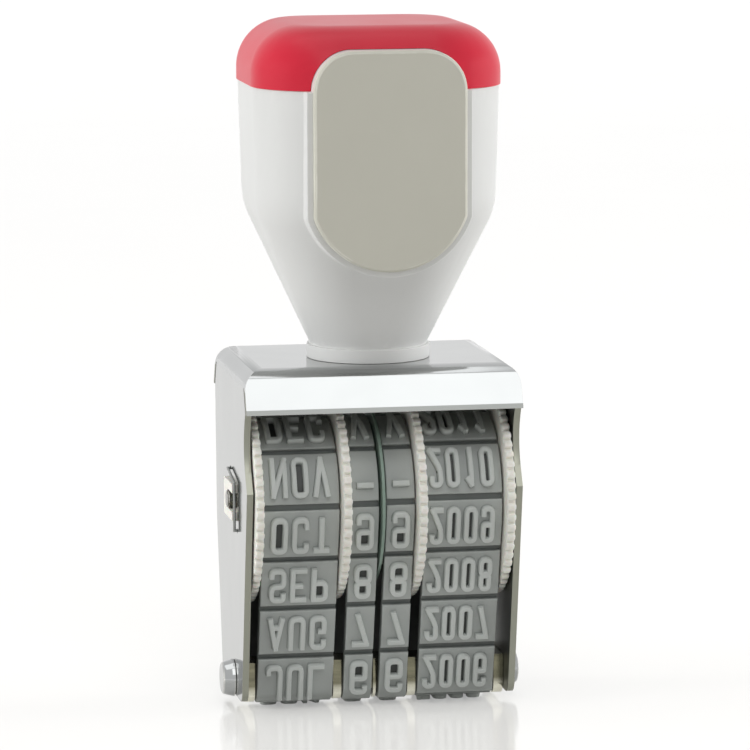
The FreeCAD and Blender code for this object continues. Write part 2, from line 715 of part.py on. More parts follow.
nodes = [frame, wheel_axle, *bearings, *wires, *wheels, divider_disc, *bands, platen_bar, *rivets,
         handle_body, handle_cap, front_plate, screw, washer]
doc.recompute()
for item in doc.Objects:
    if "Invalid" in item.State or "Error" in item.State:
        raise RuntimeError(f"{item.Name} did not compute: {item.State}")
for node in nodes:
    node.Label = node.Name
    if node.Shape.isNull() or not node.Shape.isValid():
        raise RuntimeError(f"{node.Name} has no valid shape")
    node.Shape.exportStep(f"parts/{node.Name}.step")
    print(f"{node.Name}: {len(node.Shape.Solids)} solid, {node.Shape.Volume:.2f} mm3")
print(f"pad pitch {pitch:.3f} mm, lean {math.degrees(path.lean):.2f} degrees")
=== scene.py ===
import json
import math

import bmesh
import bpy
from mathutils import Matrix, Vector


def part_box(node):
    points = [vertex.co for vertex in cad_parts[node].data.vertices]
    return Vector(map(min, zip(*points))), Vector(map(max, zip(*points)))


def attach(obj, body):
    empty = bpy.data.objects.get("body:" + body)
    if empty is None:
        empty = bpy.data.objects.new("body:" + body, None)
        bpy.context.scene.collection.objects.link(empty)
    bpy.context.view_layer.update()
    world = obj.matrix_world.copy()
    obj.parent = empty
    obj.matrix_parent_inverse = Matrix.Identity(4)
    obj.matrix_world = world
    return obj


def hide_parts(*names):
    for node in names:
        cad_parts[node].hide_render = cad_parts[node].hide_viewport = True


# A hand-held band date stamp, dressed for rendering. Sizes are in millimetres and are turned to
# metres by mm, and angles are in degrees. The front of the stamp faces -Y and its axle lies along X.

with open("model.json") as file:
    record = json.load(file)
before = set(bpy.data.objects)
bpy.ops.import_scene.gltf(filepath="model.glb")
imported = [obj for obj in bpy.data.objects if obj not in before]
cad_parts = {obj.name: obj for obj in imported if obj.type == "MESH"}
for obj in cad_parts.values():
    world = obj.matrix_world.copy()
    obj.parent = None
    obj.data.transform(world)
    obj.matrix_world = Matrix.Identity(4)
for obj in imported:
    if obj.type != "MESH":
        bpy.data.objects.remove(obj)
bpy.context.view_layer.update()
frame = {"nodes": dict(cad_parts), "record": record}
mm = 0.001
stampBody = "stamp_frame"
print("frame loaded")


# Tools that the materials share.

def hexColour(text):  # sRGB hex to the linear colour that the nodes want
    parts = [int(text[i:i + 2], 16) / 255 for i in (1, 3, 5)]
    linear = [c / 12.92 if c <= 0.04045 else ((c + 0.055) / 1.055) ** 2.4 for c in parts]
    return (*linear, 1.0)


def perMetre(size):  # the texture scale at which a pattern repeats about every so many millimetres
    return 1000 / size


def addNode(tree, kind, values=None, links=None, **settings):
    node = tree.nodes.new("ShaderNode" + kind)
    for name, value in settings.items():
        setattr(node, name, value)
    for socket, value in (values or {}).items():
        node.inputs[socket].default_value = value
    for socket, source in (links or {}).items():
        tree.links.new(source, node.inputs[socket])
    return node


def attribute(tree, name):  # what a piece's own faces or corners carry under this name
    return addNode(tree, "Attribute", attribute_name=name, attribute_type="GEOMETRY").outputs["Fac"]


def mixColour(tree, share, first, second):  # each is a plain value, or the socket that gives one
    node = addNode(tree, "Mix", data_type="RGBA")
    for socket, given in ((0, share), (6, first), (7, second)):
        if isinstance(given, bpy.types.NodeSocket):
            tree.links.new(given, node.inputs[socket])
        else:
            node.inputs[socket].default_value = given
    return node.outputs[2]


def startMaterial(name):
    material = bpy.data.materials.new(name)
    material.use_nodes = True
    tree = material.node_tree
    tree.nodes.clear()
    place = addNode(tree, "TexCoord").outputs["Object"]
    return material, tree, place


def endMaterial(material, tree, shader):
    addNode(tree, "OutputMaterial", links={"Surface": shader.outputs[0]})
    return material


rubbing = {"finer": 3, "from": 0.35, "to": 0.6}  # patches finer than the clouds, and where they set in


def wornColour(tree, place, look):  # two close tones in soft clouds, and a rubbed tone on broken edges
    clouds = addNode(tree, "TexNoise", {"Scale": perMetre(look["cloud"]), "Detail": 3.0}, {"Vector": place})
    tones = mixColour(tree, clouds.outputs["Fac"], hexColour(look["dark"]), hexColour(look["light"]))
    rub = addNode(tree, "TexNoise", {"Scale": perMetre(look["cloud"] / rubbing["finer"]), "Detail": 4.0},
                  {"Vector": place})
    patches = addNode(tree, "MapRange", {"From Min": rubbing["from"], "From Max": rubbing["to"],
                                         "To Max": look["wear"]}, {"Value": rub.outputs["Fac"]})
    worn = addNode(tree, "Math", {}, {0: attribute(tree, "worn"), 1: patches.outputs[0]},
                   operation="MULTIPLY")
    return mixColour(tree, worn.outputs[0], tones, hexColour(look["edge"]))


def fineBump(tree, place, size, depth):  # grain of one size, in millimetres, raised by a depth
    grain = addNode(tree, "TexNoise", {"Scale": perMetre(size), "Detail": 4.0, "Roughness": 0.6},
                    {"Vector": place})
    return addNode(tree, "Bump", {"Strength": 1.0, "Distance": depth * mm},
                   {"Height": grain.outputs["Fac"]}).outputs[0]


def roughField(tree, place, low, high, size):  # roughness that wanders, as handling leaves it
    smears = addNode(tree, "TexNoise", {"Scale": perMetre(size), "Detail": 2.0}, {"Vector": place})
    return addNode(tree, "MapRange", {"To Min": low, "To Max": high},
                   {"Value": smears.outputs["Fac"]}).outputs[0]


def wornMaterial(look):  # the recipe that the plain plastics and metals share
    material, tree, place = startMaterial(look["name"])
    shader = addNode(tree, "BsdfPrincipled", look["shader"], {
        "Base Color": wornColour(tree, place, look),
        "Roughness": roughField(tree, place, *look["rough"]),
        "Normal": fineBump(tree, place, *look["grain"])})
    return endMaterial(material, tree, shader)


# Looks of the plain materials. Clouds are in mm; rough holds the lowest and highest roughness and the
# size of its smears in mm; grain holds the size and the depth of the surface's grain in mm.

# Injection-moulded ABS, cool white, lightly textured: a soft satin sheen and a barely seen grain.
whiteAbs = {
    "name": "moulded white ABS",
    "cloud": 14.0, "dark": "#DBDCDB", "light": "#E1E2E1", "edge": "#ECECEB", "wear": 0.5,
    "shader": {"IOR": 1.52, "Specular IOR Level": 0.5},
    "rough": (0.34, 0.44, 5.0),
    "grain": (0.25, 0.004),
}
# Injection-moulded ABS, dyed red, from a polished mould: clear colour, with soft and rather weak lights.
redAbs = {
    "name": "polished red ABS",
    "cloud": 12.0, "dark": "#D0283C", "light": "#D63044", "edge": "#E2505F", "wear": 0.4,
    "shader": {"IOR": 1.52, "Specular IOR Level": 0.2},
    "rough": (0.28, 0.36, 6.0),
    "grain": (0.4, 0.003),
}
# A flat plate of moulded polystyrene in warm grey, spark-eroded mould: matt, with a fine even grain.
greyPlate = {
    "name": "matt warm grey polystyrene",
    "cloud": 9.0, "dark": "#C9C8BC", "light": "#CFCEC2", "edge": "#E4E3DA", "wear": 0.7,
    "shader": {"IOR": 1.59},
    "rough": (0.46, 0.56, 3.0),
    "grain": (0.18, 0.006),
}
# Drawn steel rod and wire, bright but bare: darker than the plating, with a fine grain from the die.
drawnSteel = {
    "name": "drawn steel rod",
    "cloud": 1.5, "dark": "#5A5954", "light": "#74736D", "edge": "#D8D6D0", "wear": 0.8,
    "shader": {"Metallic": 1.0},
    "rough": (0.12, 0.22, 0.8),
    "grain": (0.10, 0.0015),
}
# A turned machine screw and washer with clear zinc: a cool grey that scatters light softly.
zincSteel = {
    "name": "zinc plated steel",
    "cloud": 1.2, "dark": "#7C7E7C", "light": "#969895", "edge": "#E4E5E2", "wear": 0.8,
    "shader": {"Metallic": 1.0},
    "rough": (0.14, 0.24, 1.0),
    "grain": (0.12, 0.002),
}
# Moulded acetal, the usual gear plastic: cream white, waxy, with a little light passing inside.
creamAcetal = {
    "name": "moulded cream acetal",
    "cloud": 2.5, "dark": "#F0EEE4", "light": "#F7F6EF", "edge": "#FDFDF9", "wear": 0.6,
    "shader": {"IOR": 1.48, "Subsurface Weight": 0.08, "Subsurface Scale": 0.4 * mm},
    "rough": (0.34, 0.46, 1.5),
    "grain": (0.15, 0.003),
}
# A thin washer punched from green polypropylene sheet: dull, with fine sheet grain.
greenSheet = {
    "name": "punched green polypropylene",
    "cloud": 2.0, "dark": "#7E9488", "light": "#94AA9E", "edge": "#C6D6CC", "wear": 0.6,
    "shader": {"IOR": 1.49},
    "rough": (0.40, 0.55, 1.2),
    "grain": (0.12, 0.003),
}

# Pressed steel sheet with bright nickel plating: a mirror a little dulled, with faint rolling lines
# along X, slight waves from the press, and fine wipe marks in the gloss. The inside is painted darker,
# as painted shade, and left dull, and the sheared edges are dull and faintly olive.
nickelLook = {
    "cloud": 7.0, "dark": "#9FA1A1", "light": "#A9ABAB", "edge": "#EDECE6", "wear": 0.5,
    # the inside's darker tone is painted shade
    "inside": "#686A65",
    "sheared": "#8E8F84",
    "lineStretch": (0.06, 1.0, 1.0),
    "line": 0.12,
    "lineDepth": 0.0006,
    "wave": 6.0,
    "waveDepth": 0.03,
    "rough": (0.07, 0.13, 3.5),
    "roughDull": 0.4,
}


def nickelSteel():
    look = nickelLook
    material, tree, place = startMaterial("bright nickel on pressed steel")
    lines = addNode(tree, "Mapping", {"Scale": look["lineStretch"]}, {"Vector": place}).outputs[0]
    rolled = addNode(tree, "TexNoise", {"Scale": perMetre(look["line"]), "Detail": 3.0}, {"Vector": lines})
    waves = addNode(tree, "TexNoise", {"Scale": perMetre(look["wave"]), "Detail": 1.0}, {"Vector": place})
    swell = addNode(tree, "Bump", {"Strength": 1.0, "Distance": look["waveDepth"] * mm},
                    {"Height": waves.outputs["Fac"]})
    grain = addNode(tree, "Bump", {"Strength": 1.0, "Distance": look["lineDepth"] * mm},
                    {"Height": rolled.outputs["Fac"], "Normal": swell.outputs[0]})
    # faces that look inwards take the darker tone, painted shade
    inside = attribute(tree, "inside")
    sheared = attribute(tree, "sheared")
    skin = mixColour(tree, inside, wornColour(tree, place, look), hexColour(look["inside"]))
    tone = mixColour(tree, sheared, skin, hexColour(look["sheared"]))
    dull = addNode(tree, "Math", {}, {0: inside, 1: sheared}, operation="MAXIMUM")
    rough = addNode(tree, "Mix", {3: look["roughDull"]},
                    {0: dull.outputs[0], 2: roughField(tree, place, *look["rough"])})
    shader = addNode(tree, "BsdfPrincipled", {"Metallic": 1.0}, {
        "Base Color": tone, "Roughness": rough.outputs[0], "Normal": grain.outputs[0]})
    return endMaterial(material, tree, shader)


# Vulcanised rubber type: mid grey and dull, with painted shade in the grooves and at the letters' feet,
# type faces painted lighter, painted shade in the closed parts of letters, and a fine moulded grain.
rubberLook = {
    "cloud": 1.8, "dark": "#9EA6A4", "light": "#B7BEBC", "edge": "#D2D8D6", "wear": 0.6,
    # groove and face: painted shade by height, dark in grooves and at letters' feet, light on the type
    "groove": "#2D302E",
    "face": "#D9DDDA",
    "faceHeight": 0.68,
    "heightShadeShare": 0.65,
    # the dark film in the letters' counters is painted shade
    "counterShade": "#2A2B29",
    "counterShadeCover": 0.8,
    "rough": (0.46, 0.62, 1.0),
    "grain": (0.14, 0.008),
}


def stampRubber():
    look = rubberLook
    material, tree, place = startMaterial("vulcanised grey rubber")
    height = attribute(tree, "height")
    raised = addNode(tree, "MapRange", {"From Max": look["faceHeight"]}, {"Value": height})
    # painted shade by height: dark grooves and letter feet, lighter type faces
    shadeByHeight = mixColour(tree, raised.outputs[0], hexColour(look["groove"]), hexColour(look["face"]))
    rubber = mixColour(tree, look["heightShadeShare"], wornColour(tree, place, look), shadeByHeight)
    # The counters' painted shade lies where the height is -1; the rest is 0 or more.
    counterShade = addNode(tree, "MapRange", {"From Min": -1.0, "From Max": 0.0,
                                     "To Min": look["counterShadeCover"], "To Max": 0.0}, {"Value": height})
    shader = addNode(tree, "BsdfPrincipled", {"IOR": 1.52}, {
        "Base Color": mixColour(tree, counterShade.outputs[0], rubber, hexColour(look["counterShade"])),
        "Roughness": roughField(tree, place, *look["rough"]),
        "Normal": fineBump(tree, place, *look["grain"])})
    return endMaterial(material, tree, shader)


# A milled brass bar, handled and gone olive: cutter lines lie level across its faces and its edges are
# rubbed bright. Its foot is a painted reflection of the floor, and its dark tones are partly painted shade.
brassLook = {
    # edge is the rubbed edges' tone and also the foot's painted reflection
    "cloud": 0.7, "dark": "#3C3B31", "light": "#94917A", "edge": "#F2F0E0", "wear": 0.9,
    "lineStretch": (0.08, 0.08, 1.0),
    "footReflection": 0.8,
    "footReflectionLow": 1.5,
    "footReflectionHigh": 2.6,
    "rough": (0.12, 0.34, 0.5),
    "grain": (0.35, 0.012),
}


def agedBrass():
    look = brassLook
    material, tree, place = startMaterial("aged brass bar")
    level = addNode(tree, "Mapping", {"Scale": look["lineStretch"]}, {"Vector": place}).outputs[0]
    height = addNode(tree, "SeparateXYZ", links={"Vector": place}).outputs["Z"]
    # the foot is painted bright, a painted reflection of the floor, fading out higher up
    footReflection = addNode(tree, "MapRange", {"From Min": look["footReflectionLow"] * mm, "From Max": look["footReflectionHigh"] * mm,
                                       "To Min": look["footReflection"], "To Max": 0.0}, {"Value": height})
    tone = mixColour(tree, footReflection.outputs[0], wornColour(tree, level, look), hexColour(look["edge"]))
    shader = addNode(tree, "BsdfPrincipled", {"Metallic": 1.0}, {
        "Base Color": tone,
        "Roughness": roughField(tree, level, *look["rough"]),
        "Normal": fineBump(tree, level, *look["grain"])})
    return endMaterial(material, tree, shader)


materials = {
    "handle_white": wornMaterial(whiteAbs),
    "handle_red": wornMaterial(redAbs),
    "plate_grey": wornMaterial(greyPlate),
    "fastener_steel": wornMaterial(zincSteel),
    "frame_steel": nickelSteel(),
    "axle_steel": wornMaterial(drawnSteel),
    "wheel_plastic": wornMaterial(creamAcetal),
    "divider_green": wornMaterial(greenSheet),
    "band_rubber": stampRubber(),
    "platen_brass": agedBrass(),
}
slotOf = {part["node"]: part["material_slot"] for part in frame["record"]["subparts"]}
print("materials made:", len(materials))


# Tools that the pieces share.

# Every piece ends here: it gets its shading, its material, its CAD nodes and the body it rides on.
def finishPiece(name, bm, body, nodes, smoothAngle=32, flatArea=math.inf):
    for edge in bm.edges:
        edge.smooth = not edge.is_manifold or edge.calc_face_angle(0) < math.radians(smoothAngle)
    for face in bm.faces:
        face.smooth = face.calc_area() < flatArea * mm * mm
    mesh = bpy.data.meshes.new(name)
    bm.to_mesh(mesh)
    bm.free()
    piece = bpy.data.objects.new(name, mesh)
    bpy.context.scene.collection.objects.link(piece)
    even = piece.modifiers.new("even shading", "WEIGHTED_NORMAL")
    even.keep_sharp = True
    slot = slotOf[nodes[0]]
    mesh.materials.append(materials[slot])
    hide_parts(*nodes)
    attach(piece, body)


def newSolid():  # its faces can be marked as worn
    bm = bmesh.new()
    bm.faces.layers.float.new("worn")
    return bm


def sharpEdges(bm, angle):
    return [e for e in bm.edges if e.is_manifold and e.calc_face_angle(0) > math.radians(angle)]


def bevelEdges(bm, edges, width, segments=2):  # the rounded edges wear, and their faces are marked so
    made = bmesh.ops.bevel(bm, geom=edges, offset=width, offset_type="OFFSET", affect="EDGES",
                           segments=segments, profile=0.5, clamp_overlap=True, material=-1)
    worn = bm.faces.layers.float["worn"]
    for face in made["faces"]:
        face[worn] = 1.0
    return made["faces"]


copySizes = {"weld": 0.0002, "flat": 0.4}


def cadCopy(node):  # the CAD piece with its loose triangles joined to whole faces
    s = copySizes
    bm = newSolid()
    bm.from_mesh(frame["nodes"][node].data)
    bmesh.ops.remove_doubles(bm, verts=bm.verts, dist=s["weld"] * mm)
    bmesh.ops.dissolve_limit(bm, angle_limit=math.radians(s["flat"]), verts=bm.verts, edges=bm.edges)
    return bm


# Rigid pieces that keep the CAD shape. Only their edges are rounded.

sharpAngle = 35
brokenEdges = {  # width of each piece's rounded edges
    "handle_body": 0.12,
    "front_plate": 0.08,
    "axle_bearing_left": 0.08,
    "axle_bearing_right": 0.08,
    "divider_disc": 0.04,
    "platen_bar": 0.10,
    "platen_rivet_left": 0.18,
    "platen_rivet_right": 0.18,
    "wheel_axle": 0.05,
    "handle_screw": 0.10,
    "handle_washer": 0.05,
    "axle_wire_left": 0.02,
    "axle_wire_right": 0.02,
}
for node, width in brokenEdges.items():
    bm = cadCopy(node)
    bevelEdges(bm, sharpEdges(bm, sharpAngle), width * mm)
    finishPiece(node + "_dressed", bm, stampBody, [node])
print("rigid pieces dressed:", len(brokenEdges))


# The cap on the handle.

capSizes = {
    "notchRound": 0.7,
    "notchSteps": 4,
    "edge": 0.15,
    "sharp": 50,
    "notchHalf": 8.6,
    "frontDepth": 3.0,
    "spigot": 2.0,
    "aboveSeam": 0.4,
}


def makeCap():  # the notch around the plate is rounded softly, and other edges are just broken
    s = capSizes
    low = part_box("handle_cap")[0]
    bm = cadCopy("handle_cap")
    notch = [e for e in sharpEdges(bm, s["sharp"]) if atNotch(e, low)]
    bevelEdges(bm, notch, s["notchRound"] * mm, s["notchSteps"])
    bevelEdges(bm, sharpEdges(bm, s["sharp"]), s["edge"] * mm)
    finishPiece("handle_cap_dressed", bm, stampBody, ["handle_cap"])


def atNotch(edge, low):  # in front, above the seam, and near enough to the middle
    s = capSizes
    seam = low.z + s["spigot"] * mm
    return all(abs(v.co.x) < s["notchHalf"] * mm and v.co.y < low.y + s["frontDepth"] * mm
               and v.co.z > seam + s["aboveSeam"] * mm for v in edge.verts)


makeCap()
print("cap made")


# The bent steel frame.

frameSizes = {
    "sheet": 0.7,
    "edge": 0.07,
    "inset": 0.12,
    "lipLow": 33.5,
    "lipStrip": 0.42,
    "lipShadeAndDull": 0.65,
    "burr": 0.1,
    "sharp": 35,
    "flat": 25,  # square mm; larger faces are left flat-shaded
    "cutSharp": 0.15,  # a cut face has at least this share of its edges sharp,
    "cutWidth": 0.55,  # and is narrower than about this many sheets
    "facing": 0.8,  # a normal's part along Y on a lip,
    "square": 0.999,  # and along X on a cheek
    "snap": 1e-4,
}


def isCut(face):  # a narrow face between two sharp edges is where the sheet was sheared
    s = frameSizes
    around = face.calc_perimeter()
    sharp = sum(e.calc_length() for e in face.edges if e.calc_face_angle(0) > math.radians(s["sharp"]))
    narrow = face.calc_area() < s["cutWidth"] * s["sheet"] * mm * around
    return narrow and sharp > s["cutSharp"] * around


def onLip(face):
    s = frameSizes
    return abs(face.normal.y) > s["facing"] and face.calc_center_median().z > s["lipLow"] * mm


def makeFrame():
    s = frameSizes
    bm = cadCopy("frame")
    low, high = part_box("frame")
    middle = (low + high) / 2
    inside = bm.faces.layers.float.new("inside")
    sheared = bm.faces.layers.float.new("sheared")
    for face in bm.faces:
        # faces turned towards the middle are marked for the inside's painted shade
        face[inside] = float(face.normal.dot(face.calc_center_median() - middle) < 0)
        face[sheared] = float(isCut(face))
    cheeks = [f for f in bm.faces if abs(f.normal.x) > s["square"]]
    bmesh.ops.inset_region(bm, faces=cheeks, thickness=s["inset"] * mm, use_even_offset=True,
                           use_boundary=True)
    # The lips' lowest strip takes most of the inside's painted shade tone and a duller gloss,
    # and shows as a grey line below the bright face.
    stripTop = (s["lipLow"] + s["lipStrip"]) * mm
    lips = [f for f in bm.faces if onLip(f)]
    bmesh.ops.bisect_plane(bm, geom=lips + list({e for f in lips for e in f.edges}),
                           plane_co=(0, 0, stripTop), plane_no=(0, 0, 1), dist=s["snap"] * mm)
    for face in bm.faces:
        if onLip(face) and face.calc_center_median().z < stripTop:
            face[inside] = max(face[inside], s["lipShadeAndDull"])
    for vert in bm.verts:  # the shears leave a burr hanging from the front lip
        if vert.co.y < 0 and abs(vert.co.z - s["lipLow"] * mm) < s["burr"] * mm / 2:
            vert.co.z -= s["burr"] * mm
    bevelEdges(bm, sharpEdges(bm, s["sharp"]), s["edge"] * mm)
    finishPiece("frame_dressed", bm, stampBody, ["frame"], flatArea=s["flat"])


makeFrame()
print("frame made")


# The thumb wheels: a drum with a flange at one end, and beads round the flange.

wheelSizes = {
    "axleZ": 22.8,
    "bore": 1.05,
    "drum": 7.7,
    "root": 10.75,
    "rim": 11.3,
    "flange": 0.9,
    "beads": 60,
    "beadLength": 0.84,
    "beadHeight": 0.8,
    "beadRound": 0.26,
    "edge": 0.12,
    "sharp": 60,
    "smooth": 40,
    "steps": 120,
}
wheelAxle = Vector((0, 0, wheelSizes["axleZ"] * mm))


def makeWheel(node, flangeSide):  # flangeSide is -1 where the flange is on the left, and 1 on the right
    s = wheelSizes
    low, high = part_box(node)
    flangeFace, drumEnd = (low.x, high.x) if flangeSide < 0 else (high.x, low.x)
    flangeBack = flangeFace - flangeSide * s["flange"] * mm
    bm = newSolid()
    spinWheel(bm, flangeFace, flangeBack, drumEnd)
    addBeads(bm, (flangeFace + flangeBack) / 2)
    finishPiece(node + "_dressed", bm, node, [node], smoothAngle=s["smooth"])


def spinWheel(bm, flangeFace, flangeBack, drumEnd):  # the outline, turned once round the axle
    s = wheelSizes
    outline = [(flangeFace, s["bore"]), (flangeFace, s["root"]), (flangeBack, s["root"]),
               (flangeBack, s["drum"]), (drumEnd, s["drum"]), (drumEnd, s["bore"])]
    verts = [bm.verts.new(wheelAxle + Vector((x, 0, r * mm))) for x, r in outline]
    ring = [bm.edges.new((verts[i], verts[(i + 1) % len(verts)])) for i in range(len(verts))]
    bmesh.ops.spin(bm, geom=verts + ring, cent=wheelAxle, axis=(1, 0, 0), angle=math.tau, steps=s["steps"],
                   use_merge=True)
    bmesh.ops.recalc_face_normals(bm, faces=bm.faces)
    bevelEdges(bm, sharpEdges(bm, s["sharp"]), s["edge"] * mm)


def addBeads(bm, middle):  # one rounded bead on top of the flange, and its copies all the way round
    s = wheelSizes
    bead = bmesh.ops.create_cube(bm, size=1)["verts"]
    bmesh.ops.scale(bm, verts=bead, vec=(s["flange"] * mm, s["beadLength"] * mm, s["beadHeight"] * mm))
    rounded = bevelEdges(bm, list({e for v in bead for e in v.link_edges}), s["beadRound"] * mm)
    bead = list({v for f in rounded for v in f.verts})
    rise = (s["rim"] - s["beadHeight"] / 2) * mm
    bmesh.ops.translate(bm, verts=bead, vec=wheelAxle + Vector((middle, 0, rise)))
    beadFaces = list({f for v in bead for f in v.link_faces})
    for index in range(1, s["beads"]):
        turn = Matrix.Rotation(math.tau * index / s["beads"], 3, "X")
        copied = bmesh.ops.duplicate(bm, geom=beadFaces + bead)["geom"]
        copiedVerts = [g for g in copied if isinstance(g, bmesh.types.BMVert)]
        bmesh.ops.rotate(bm, cent=wheelAxle, matrix=turn, verts=copiedVerts)


flangeSides = {"month_wheel": -1, "day_tens_wheel": -1, "day_units_wheel": 1, "year_wheel": 1}
for node, flangeSide in flangeSides.items():
    makeWheel(node, flangeSide)
print("thumb wheels made")


# The rubber bands. Each is made flat, in mm, and then bent round its wheel and the platen's corners.

bandSizes = {
    "pads": 13,
    "wheelZ": wheelSizes["axleZ"],
    "wheel": 7.78,  # inner radius round the wheel, a little over the drum's
    "half": 2.5,  # from the middle of the platen to its corner's centre
    "cornerZ": 1.85,
    "corner": 0.1,
    "belt": 0.6,
    "pad": 0.5,
    "type": 0.65,
    "groove": 0.6,
    "padRound": 0.12,
    "cuts": 12,
    "facing": 0.9,
    "sharp": 57,
    "smooth": 50,
    "weld": 0.002,
    "snap": 1e-5,
}


def bandPath():  # lengths of the runs and arcs along the middle of the belt, from the foot's middle
    s = bandSizes
    cornerMid = s["corner"] + s["belt"] / 2
    wheelMid = s["wheel"] + s["belt"] / 2
    rise = s["wheelZ"] - s["cornerZ"]
    reach = math.hypot(s["half"], rise)
    lean = math.asin((s["wheel"] - s["corner"]) / reach) - math.atan2(s["half"], rise)
    run = math.sqrt(reach ** 2 - (s["wheel"] - s["corner"]) ** 2)
    cornerArc = cornerMid * (math.pi / 2 - lean)
    wheelArc = wheelMid * (math.pi / 2 + lean)
    return {"lean": lean, "run": run, "cornerMid": cornerMid, "wheelMid": wheelMid, "cornerArc": cornerArc,
            "length": 2 * (s["half"] + cornerArc + run + wheelArc)}


path = bandPath()
pitch = path["length"] / bandSizes["pads"]


def onBand(point):  # (x, along, height) in mm over a flat band to its place on the loop, in metres
    s = bandSizes
    half = path["length"] / 2
    along = (point.y + half) % path["length"] - half
    side, along = math.copysign(1, along), abs(along)
    cornerEnd = s["half"] + path["cornerArc"]
    if along < s["half"]:
        turn, y, z = 0.0, along, s["cornerZ"] - s["corner"]
    elif along < cornerEnd + path["run"]:
        turn = min((along - s["half"]) / path["cornerMid"], math.pi / 2 - path["lean"])
        more = max(along - cornerEnd, 0)
        y = s["half"] + s["corner"] * math.sin(turn) + more * math.cos(turn)
        z = s["cornerZ"] - s["corner"] * math.cos(turn) + more * math.sin(turn)
    else:
        turn = math.pi / 2 - path["lean"] + (along - cornerEnd - path["run"]) / path["wheelMid"]
        y, z = s["wheel"] * math.sin(turn), s["wheelZ"] - s["wheel"] * math.cos(turn)
    y += point.z * math.sin(turn)
    z -= point.z * math.cos(turn)
    return Vector((point.x, side * y, z)) * mm


def cutAcross(bm, places):  # edges across the flat band, so that it can bend there
    for place in places:
        geometry = bm.verts[:] + bm.edges[:] + bm.faces[:]
        bmesh.ops.bisect_plane(bm, geom=geometry, plane_co=(0, place, 0), plane_no=(0, 1, 0),
                               dist=bandSizes["snap"])


def flatPad(low, high):  # one pitch of flat band: belt, groove halves and the pad with its edges round
    s = bandSizes
    bm = newSolid()
    block = bmesh.ops.create_cube(bm, size=1)["verts"]
    bmesh.ops.scale(bm, vec=(high - low, pitch, s["belt"]), verts=block)
    bmesh.ops.translate(bm, vec=((high + low) / 2, 0, s["belt"] / 2), verts=block)
    ends = [f for f in bm.faces if abs(f.normal.y) > s["facing"]]
    bmesh.ops.delete(bm, geom=ends, context="FACES_ONLY")
    padHalf = (pitch - s["groove"]) / 2
    cutAcross(bm, (-padHalf, padHalf))
    top = [f for f in bm.faces if f.normal.z > s["facing"] and abs(f.calc_center_median().y) < padHalf]
    raised = bmesh.ops.extrude_face_region(bm, geom=top)["geom"]
    bmesh.ops.delete(bm, geom=top, context="FACES")
    risen = [g for g in raised if isinstance(g, bmesh.types.BMVert)]
    bmesh.ops.translate(bm, vec=(0, 0, s["pad"]), verts=risen)
    bmesh.ops.recalc_face_normals(bm, faces=bm.faces)
    crown = [e for e in sharpEdges(bm, s["sharp"])
             if min(v.co.z for v in e.verts) > s["belt"] + s["pad"] / 2]
    bevelEdges(bm, crown, s["padRound"])
    step = 2 * padHalf / s["cuts"]
    cutAcross(bm, [-padHalf + step * (i + 0.5) for i in range(s["cuts"])])
    return bm


